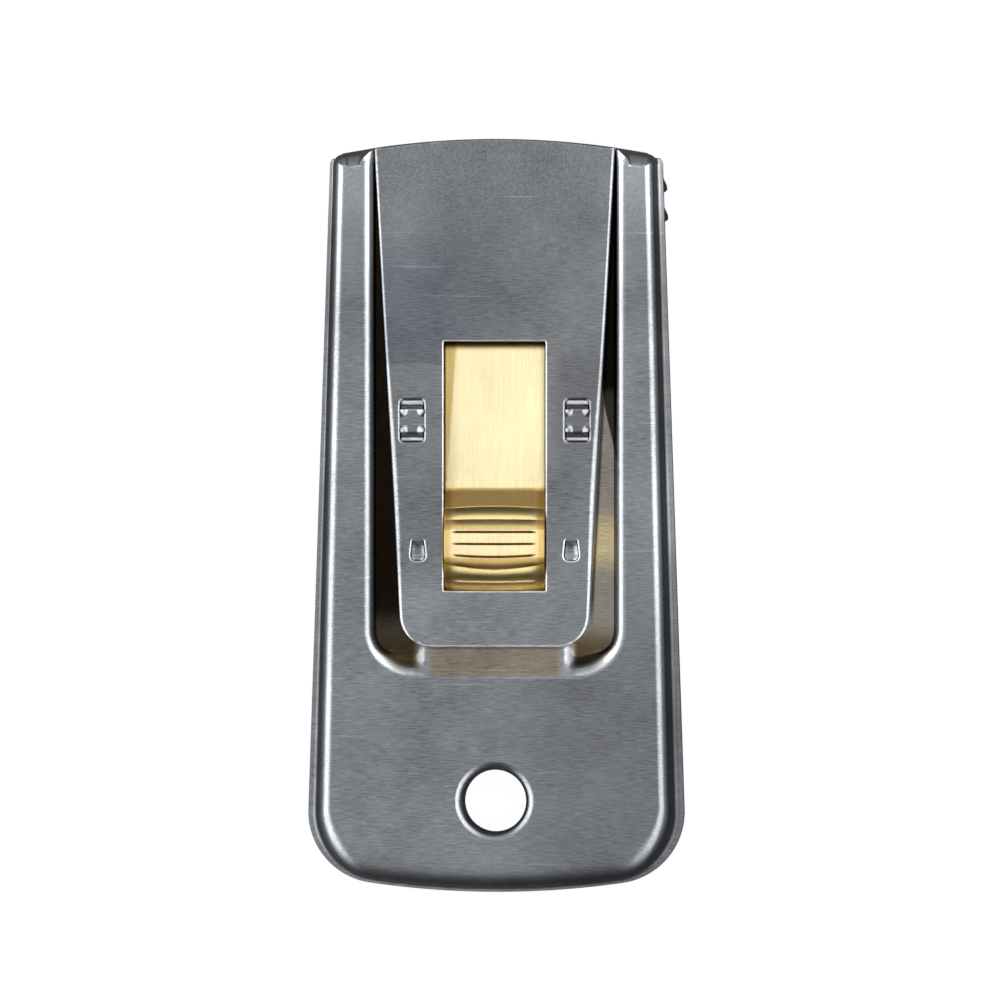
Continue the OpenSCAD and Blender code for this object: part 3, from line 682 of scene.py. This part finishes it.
sliver, facing_down = 0.0005 * mm, -0.001
bmesh.ops.remove_doubles(bm, verts=bm.verts[:], dist=weld_gap)
bmesh.ops.dissolve_degenerate(bm, dist=sliver, edges=bm.edges[:])
open_edges = [e for e in bm.edges if len(e.link_faces) < 2]
open_top = [e for e in open_edges if all(v.co.z > plate_z - merge_gap for v in e.verts)]
bmesh.ops.triangle_fill(bm, edges=open_top, use_beauty=True, normal=(0, 0, 1))
bmesh.ops.recalc_face_normals(bm, faces=bm.faces[:])
bmesh.ops.reverse_faces(bm, faces=[f for f in bm.faces if f.normal.z < facing_down])
upper_shade, heel_light, strap_shade = (0.74, 0.77, 0.82), (1.24, 1.24, 1.22), (0.78, 0.77, 0.77)
plate_steel = brushed_metal(
    "brushed plate steel", colour=(0.4, 0.42, 0.445), rough=0.3, along="X", pull=0.45, blasted=0.0)
tree = plate_steel.node_tree
x, y, z = spread(plate_steel)
above_window = within(tree, y, 18.9 * mm, 19.5 * mm, 30 * mm, 40 * mm)
on_left = fade(tree, x, 8 * mm, -8 * mm)
tint(plate_steel, upper_shade, above_window, on_left)
# Painted light: the plate is lighter towards the heel and the left.
at_heel = fade(tree, y, -5 * mm, -11 * mm)
to_left = fade(tree, x, 10 * mm, -10 * mm)
tint(plate_steel, heel_light, at_heel, to_left)
by_strap = within(tree, y, 6 * mm, 12 * mm, 19 * mm, 22 * mm)
on_right = fade(tree, x, 6 * mm, 9 * mm)
tint(plate_steel, strap_shade, by_strap, on_right)
# Sheared edges are pale, partly as bare cut metal and partly as a painted highlight along the heel, window,
# bars and tab holes.
sheared_highlight_steel = brushed_metal("sheared steel edge with painted highlight", colour=(0.8, 0.8, 0.8), rough=0.42, along="X", pull=0.0)
plate_steels = [plate_steel, sheared_highlight_steel]
finish_piece("guide_plate_cover", bm, "casing", ["guide_plate"], plate_steels)

# Blade carrier: the pressed steel slide under the plate, painted near-black as shade in the grooves. A
# groove and a ledge hold the blade, lugs stand at its two ends, and a fork at the rear runs between the
# clinched straps.
carrier_steel = brushed_metal(
    "carrier steel darkened as painted shade", colour=(0.03, 0.026, 0.024), rough=0.5, along="X", pull=0.3)
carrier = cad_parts["blade_carrier"]
carrier.data.materials.clear()
carrier.data.materials.append(carrier_steel)

# Blade: a single-edge blade of hard rolled steel foil, ground to a narrow bevel on both faces of its
# front. It lies on the carrier's ledge between the lugs, and its spine keeps it from sliding out.
blade_low, blade_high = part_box("blade")
blade_middle = (blade_low.z + blade_high.z) / 2
bevel_run, bevel_soft, bevel_drop, blade_steps = 1.5 * mm, 0.05 * mm, 0.004 * mm, 8
grind = blade_high.y - bevel_run
section = [
    (blade_low.y, blade_low.z), (blade_low.y, blade_high.z), (grind, blade_high.z),
    (grind + bevel_soft, blade_high.z - bevel_drop), (blade_high.y, blade_middle),
    (grind + bevel_soft, blade_low.z + bevel_drop), (grind, blade_low.z), (blade_low.y, blade_low.z)]
rows = []
for n in range(blade_steps + 1):
    x = blade_low.x + (blade_high.x - blade_low.x) * n / blade_steps
    rows.append([(x, y, z) for y, z in section])
bm = bmesh.new()
draw_along(bm, rows)
bmesh.ops.remove_doubles(bm, verts=bm.verts[:], dist=merge_gap)
bmesh.ops.holes_fill(bm, edges=[e for e in bm.edges if e.is_boundary])
for face in bm.faces:
    face.material_index = int(face.calc_center_median().y > grind)
bmesh.ops.recalc_face_normals(bm, faces=bm.faces[:])
blade_steel = brushed_metal(
    "rolled blade steel", colour=(0.55, 0.57, 0.6), rough=0.3, along="X", pull=0.4)
ground_steel = brushed_metal(
    "ground blade edge", colour=(0.75, 0.76, 0.78), rough=0.18, along="Y", pull=0.5)
finish_piece("blade_foil", bm, "carriage", ["blade"], [blade_steel, ground_steel])

# Blade spine: a strip of soft steel folded over the blade's back and rolled tight on it. It stiffens
# the foil and sits in the carrier's groove.
spine_low, spine_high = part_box("blade_spine")
spine_half = (spine_high.z - spine_low.z) / 2
spine_middle = Vector((spine_low.y + spine_half, spine_low.z + spine_half))
fold_steps, strip_round = 12, 0.06 * mm
section = [(spine_high.y, spine_low.z + strip_round), (spine_high.y - strip_round, spine_low.z)]
for n in range(fold_steps + 1):
    section.append(tuple(round_point(spine_middle, spine_half, -pi / 2 - pi * n / fold_steps)))
section += [(spine_high.y - strip_round, spine_high.z), (spine_high.y, spine_high.z - strip_round)]
section.append(section[0])
bm = bmesh.new()
draw_along(bm, [[(x, y, z) for y, z in section] for x in (spine_low.x, spine_high.x)])
bmesh.ops.remove_doubles(bm, verts=bm.verts[:], dist=merge_gap)
bmesh.ops.holes_fill(bm, edges=[e for e in bm.edges if e.is_boundary])
bmesh.ops.recalc_face_normals(bm, faces=bm.faces[:])
spine_steel = brushed_metal(
    "folded spine steel", colour=(0.4, 0.41, 0.43), rough=0.35, along="X", pull=0.4)
finish_piece("blade_spine_strip", bm, "carriage", ["blade_spine"], [spine_steel])

# Spring rivets: two small steel rivets, headed cold, that hold the brass leaf to the carrier's cross
# bar. A little room is left under their heads, so that the leaf can flex.
rivet_steel = brushed_metal("rivet steel", colour=(0.5, 0.5, 0.5), rough=0.35, along="X", pull=0.0)
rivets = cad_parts["spring_rivets"]
rivets.data.materials.clear()
rivets.data.materials.append(rivet_steel)

# Thumb spring: a leaf of rolled brass riveted to the slide. Its flat front lies under the window, and
# behind a sharp bend it is pressed up into a fluted hump for the thumb. Two ears at its tail rub
# along the casing.
spring_low, spring_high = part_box("thumb_spring")
strip_z, strip_half, strip_sheet, ear_long = 3.9 * mm, 6.36 * mm, 0.45 * mm, 2 * mm
bend_y, hump_rear, rear_run = 3.625 * mm, -9.3 * mm, 0.5 * mm
thumb_slope, margin_bulge, crease_half = radians(22), 0.13, 0.08 * mm
bow_half, rib_half, margin_half = 5.1 * mm, 4.6 * mm, 5.5 * mm
front_dip, dip_start, dip_end = 0.4 * mm, 20.7 * mm, 22.6 * mm
bend_lift, corner_lift, corner_start = 0.05 * mm, 0.2 * mm, 4.8 * mm
crest_start, crest, crest_end = bend_y - 0.5 * mm, bend_y + 0.3 * mm, bend_y + 1.4 * mm
# Each rib has a place and a bow in mm, its slopes at the front and the back in degrees, and the depth in
# mm of the crease in front of it.
ribs = (
    (1.05, 0.2, 38, 7, 0.02), (-0.45, 0.06, 32, 1, 0.03), (-2.03, 0.0, 14, -4, 0.16),
    (-3.55, -0.04, 6, -12, 0.17), (-5.1, -0.2, 0, -30, 0.13), (-6.55, -0.5, -3, -40, 0.06),
    (-8.2, -0.15, -16, -44, 0.02))


def spring_height(x, y):
    """Height of the leaf's upper face: flat, a straight slope up, then the ribs."""
    bowed = 0.5 - (x / bow_half) ** 2
    on_rib = 1 - ease(abs(x), rib_half, margin_half)
    places = [(at + bow * bowed) * mm for at, bow, front, back, crease in ribs] + [hump_rear]
    level = strip_z + max(0, bend_y - max(y, places[0])) * tan(thumb_slope)
    for (at, bow, front, back, crease), start, end in zip(ribs, places, places[1:]):
        long = start - end
        part = min(1, max(0, (start - y) / long))
        steep, flat = tan(radians(front)), tan(radians(back))
        bulge = (steep - flat) / 2 * on_rib + margin_bulge * (1 - on_rib)
        level += long * part * (steep + flat) / 2 + long * part * (1 - part) * bulge
        level -= crease * mm * exp(-((y - start) / crease_half) ** 2) * on_rib
    level += (strip_z - level) * ease(-y, -hump_rear, rear_run - hump_rear)
    level -= front_dip * ease(y, dip_start, dip_end)
    near_bend = ease(y, crest_start, crest) * (1 - ease(y, crest, crest_end))
    return level + near_bend * (bend_lift + corner_lift * ease(abs(x), corner_start, strip_half))


flat_pitch, flat_stops, bend_room, bend_pitch, bend_stops = 0.4 * mm, 49, 2.3 * mm, 0.115 * mm, 20
hump_stops, past_hump, tail_stops, leaf_columns = 290, 0.6 * mm, 9, 64
hump_end = hump_rear - past_hump
stops = [spring_high.y - flat_pitch * n for n in range(flat_stops)]
stops += [bend_y + bend_room - bend_pitch * n for n in range(bend_stops)]
stops += [bend_y + (hump_end - bend_y) * n / hump_stops for n in range(hump_stops + 1)]
stops += [hump_end + (spring_low.y - hump_end) * n / tail_stops for n in range(1, tail_stops + 1)]
rows = []
for y in stops:
    half = strip_half if y > spring_low.y + ear_long else spring_high.x
    places = [half * (2 * n / leaf_columns - 1) for n in range(leaf_columns + 1)]
    rows.append([(x, y, spring_height(x, y)) for x in places])
bm = bmesh.new()
draw_along(bm, rows)
bmesh.ops.recalc_face_normals(bm, faces=bm.faces[:])
if sum(f.normal.z for f in bm.faces) < 0:
    bmesh.ops.reverse_faces(bm, faces=bm.faces[:])
flat_highlight, rib_highlight = (1.0, 1.1, 1.42), (1.06, 1.13, 1.4)
slope_shade, rib_shade, margin_shade = (0.73, 0.64, 0.5), (0.72, 0.64, 0.46), (0.8, 0.68, 0.46)
crease_shade, strip_shade, front_shade = (0.3, 0.22, 0.12), (0.76, 0.66, 0.42), (0.3, 0.22, 0.1)
spring_brass = brushed_metal("rolled brass", colour=(0.98, 0.77, 0.37), rough=0.48, along="Y", pull=0.9)
tree = spring_brass.node_tree
x, y, z = spread(spring_brass)
square = reckon(tree, "MULTIPLY", x, x)
on_flat = fade(tree, y, bend_y - 0.3 * mm, bend_y + 0.2 * mm)
# Painted highlight: the flat front and the middle of the hump are paled as if in glare.
tint(spring_brass, flat_highlight, on_flat)
tint(spring_brass, rib_highlight, within(tree, y, 0, -1 * mm, -5 * mm, -6 * mm))
# Painted shade: the slope behind the bend, the second and sixth ribs and the hump's margins are darkened
# brown.
tint(spring_brass, slope_shade, within(tree, y, 3.6 * mm, 3.4 * mm, 1.2 * mm, 0.9 * mm))
tint(spring_brass, rib_shade, within(tree, y, -0.5 * mm, -0.9 * mm, -1.6 * mm, -1.95 * mm))
tint(spring_brass, rib_shade, within(tree, y, -5.1 * mm, -5.4 * mm, -6.3 * mm, -6.6 * mm))
on_margin = fade(tree, square, (5.1 * mm) ** 2, (5.9 * mm) ** 2)
behind_bend = fade(tree, y, 3.6 * mm, 3.2 * mm)
tint(spring_brass, margin_shade, on_margin, behind_bend)
between_margins = fade(tree, square, (5.3 * mm) ** 2, (4.6 * mm) ** 2)
# Painted shade in the creases between the middle ribs.
for at, bow, front, back, crease in ribs[2:5]:
    straightened = reckon(tree, "MULTIPLY_ADD", square, bow * mm / bow_half ** 2, y)
    away = reckon(tree, "ABSOLUTE", reckon(tree, "SUBTRACT", straightened, (at + bow / 2) * mm))
    in_crease = fade(tree, away, 0.16 * mm, 0.05 * mm)
    tint(spring_brass, crease_shade, between_margins, in_crease)
shade_line = scale(tree, y, 4.4 * mm, 20.9 * mm, 6.15 * mm, 4.95 * mm)
past_line = fade(tree, reckon(tree, "ADD", x, shade_line), 0.2 * mm, -0.2 * mm)
tint(spring_brass, strip_shade, on_flat, past_line)
in_shadow = fade(tree, y, 20.7 * mm, 21.7 * mm)
tint(spring_brass, front_shade, in_shadow)
finish_piece(
    "thumb_spring_leaf", bm, "thumb", ["thumb_spring"], [spring_brass], strip_sheet)

# Table: a plain white sheet of paper that runs out of the picture on every side and takes a faint
# shadow. It is white to the camera, and nearly black where the metal mirrors it.
table_size, table_gap = 4, 0.02 * mm
paper_white, paper_rough, seen_share, mirrored_share, paper_glow = (0.9, 0.9, 0.9, 1), 0.9, 0.95, 0.9, 1.03
bpy.ops.mesh.primitive_plane_add(size=table_size, location=(0, 0, case_low.z - table_gap))
table = bpy.context.object
table.name = "table"
paper = bpy.data.materials.new("white paper")
paper.use_nodes = True
tree = paper.node_tree
paper_shader = tree.nodes["Principled BSDF"]
paper_shader.inputs["Base Color"].default_value = paper_white
paper_shader.inputs["Roughness"].default_value = paper_rough
rays = node(tree, "LightPath")
seen = reckon(tree, "MULTIPLY", rays.outputs["Is Camera Ray"], seen_share)
mirrored = reckon(tree, "MULTIPLY", rays.outputs["Is Glossy Ray"], mirrored_share)
glow = node(tree, "Emission", {"Color": (1, 1, 1, 1), "Strength": paper_glow})
dusk = node(tree, "Emission", {"Color": (0, 0, 0, 1), "Strength": 1.0})
dull = node(tree, "MixShader", {0: mirrored, 1: paper_shader.outputs[0], 2: dusk.outputs[0]})
both = node(tree, "MixShader", {0: seen, 1: dull.outputs[0], 2: glow.outputs[0]})
tree.links.new(both.outputs[0], tree.nodes["Material Output"].inputs["Surface"])
table.data.materials.append(paper)

# Light: a long soft box and a weak low box at each side, which draw the bright lines along the rims, a
# weak panel above, a strip beyond the mouth and a dim room. Each panel has a tilt in degrees, its
# distance and its shift along the table, its width and length in metres, and its radiance.
world = bpy.data.worlds.new("room")
bpy.context.scene.world = world
world.use_nodes = True
world.node_tree.nodes["Background"].inputs["Color"].default_value = (0.03, 0.03, 0.03, 1)
panels = (
    ("left soft box", 48, 0.5, 0.0, 0.29, 0.66, 2.6),
    ("right soft box", -30, 0.5, 0.0, 0.25, 0.66, 2.6),
    ("left low box", 76, 0.6, 0.0, 0.26, 0.66, 0.22),
    ("right low box", -57, 0.6, 0.0, 0.28, 0.66, 0.25),
    ("panel above", 9, 1.8, 0.83, 1.6, 3.6, 0.38),
    ("far panel", 0, 0.85, 0.5, 1.2, 0.2, 0.7),
)
for name, tilt, away, shift, wide, tall, radiance in panels:
    lamp = bpy.data.lights.new(name, "AREA")
    lamp.shape = "RECTANGLE"
    lamp.size, lamp.size_y = wide, tall
    lamp.energy = radiance * pi * wide * tall
    holder = bpy.data.objects.new(name, lamp)
    bpy.context.scene.collection.objects.link(holder)
    holder.location = (-away * sin(radians(tilt)), shift, away * cos(radians(tilt)))
    holder.rotation_euler = (0, -radians(tilt), 0)

# Camera: a long lens high above the table, a little to the right of the scraper. It looks down across
# the tool, so that the right wall and its hooks just show.
bpy.context.scene.view_settings.view_transform = "Standard"
camera_away, camera_tilt, lens_per_metre, film_width, clip_far = 1.5, radians(3.2), 285, 36, 10
aim = Vector((0.7 * mm, 2.0 * mm, rim_z))
lens = bpy.data.cameras.new("camera")
lens.lens, lens.sensor_width = lens_per_metre * camera_away, film_width
lens.clip_end = clip_far
camera = bpy.data.objects.new("camera", lens)
bpy.context.scene.collection.objects.link(camera)
camera.location = aim + Vector((sin(camera_tilt), 0, cos(camera_tilt))) * camera_away
camera.rotation_euler = (0, camera_tilt, 0)
bpy.context.scene.camera = camera
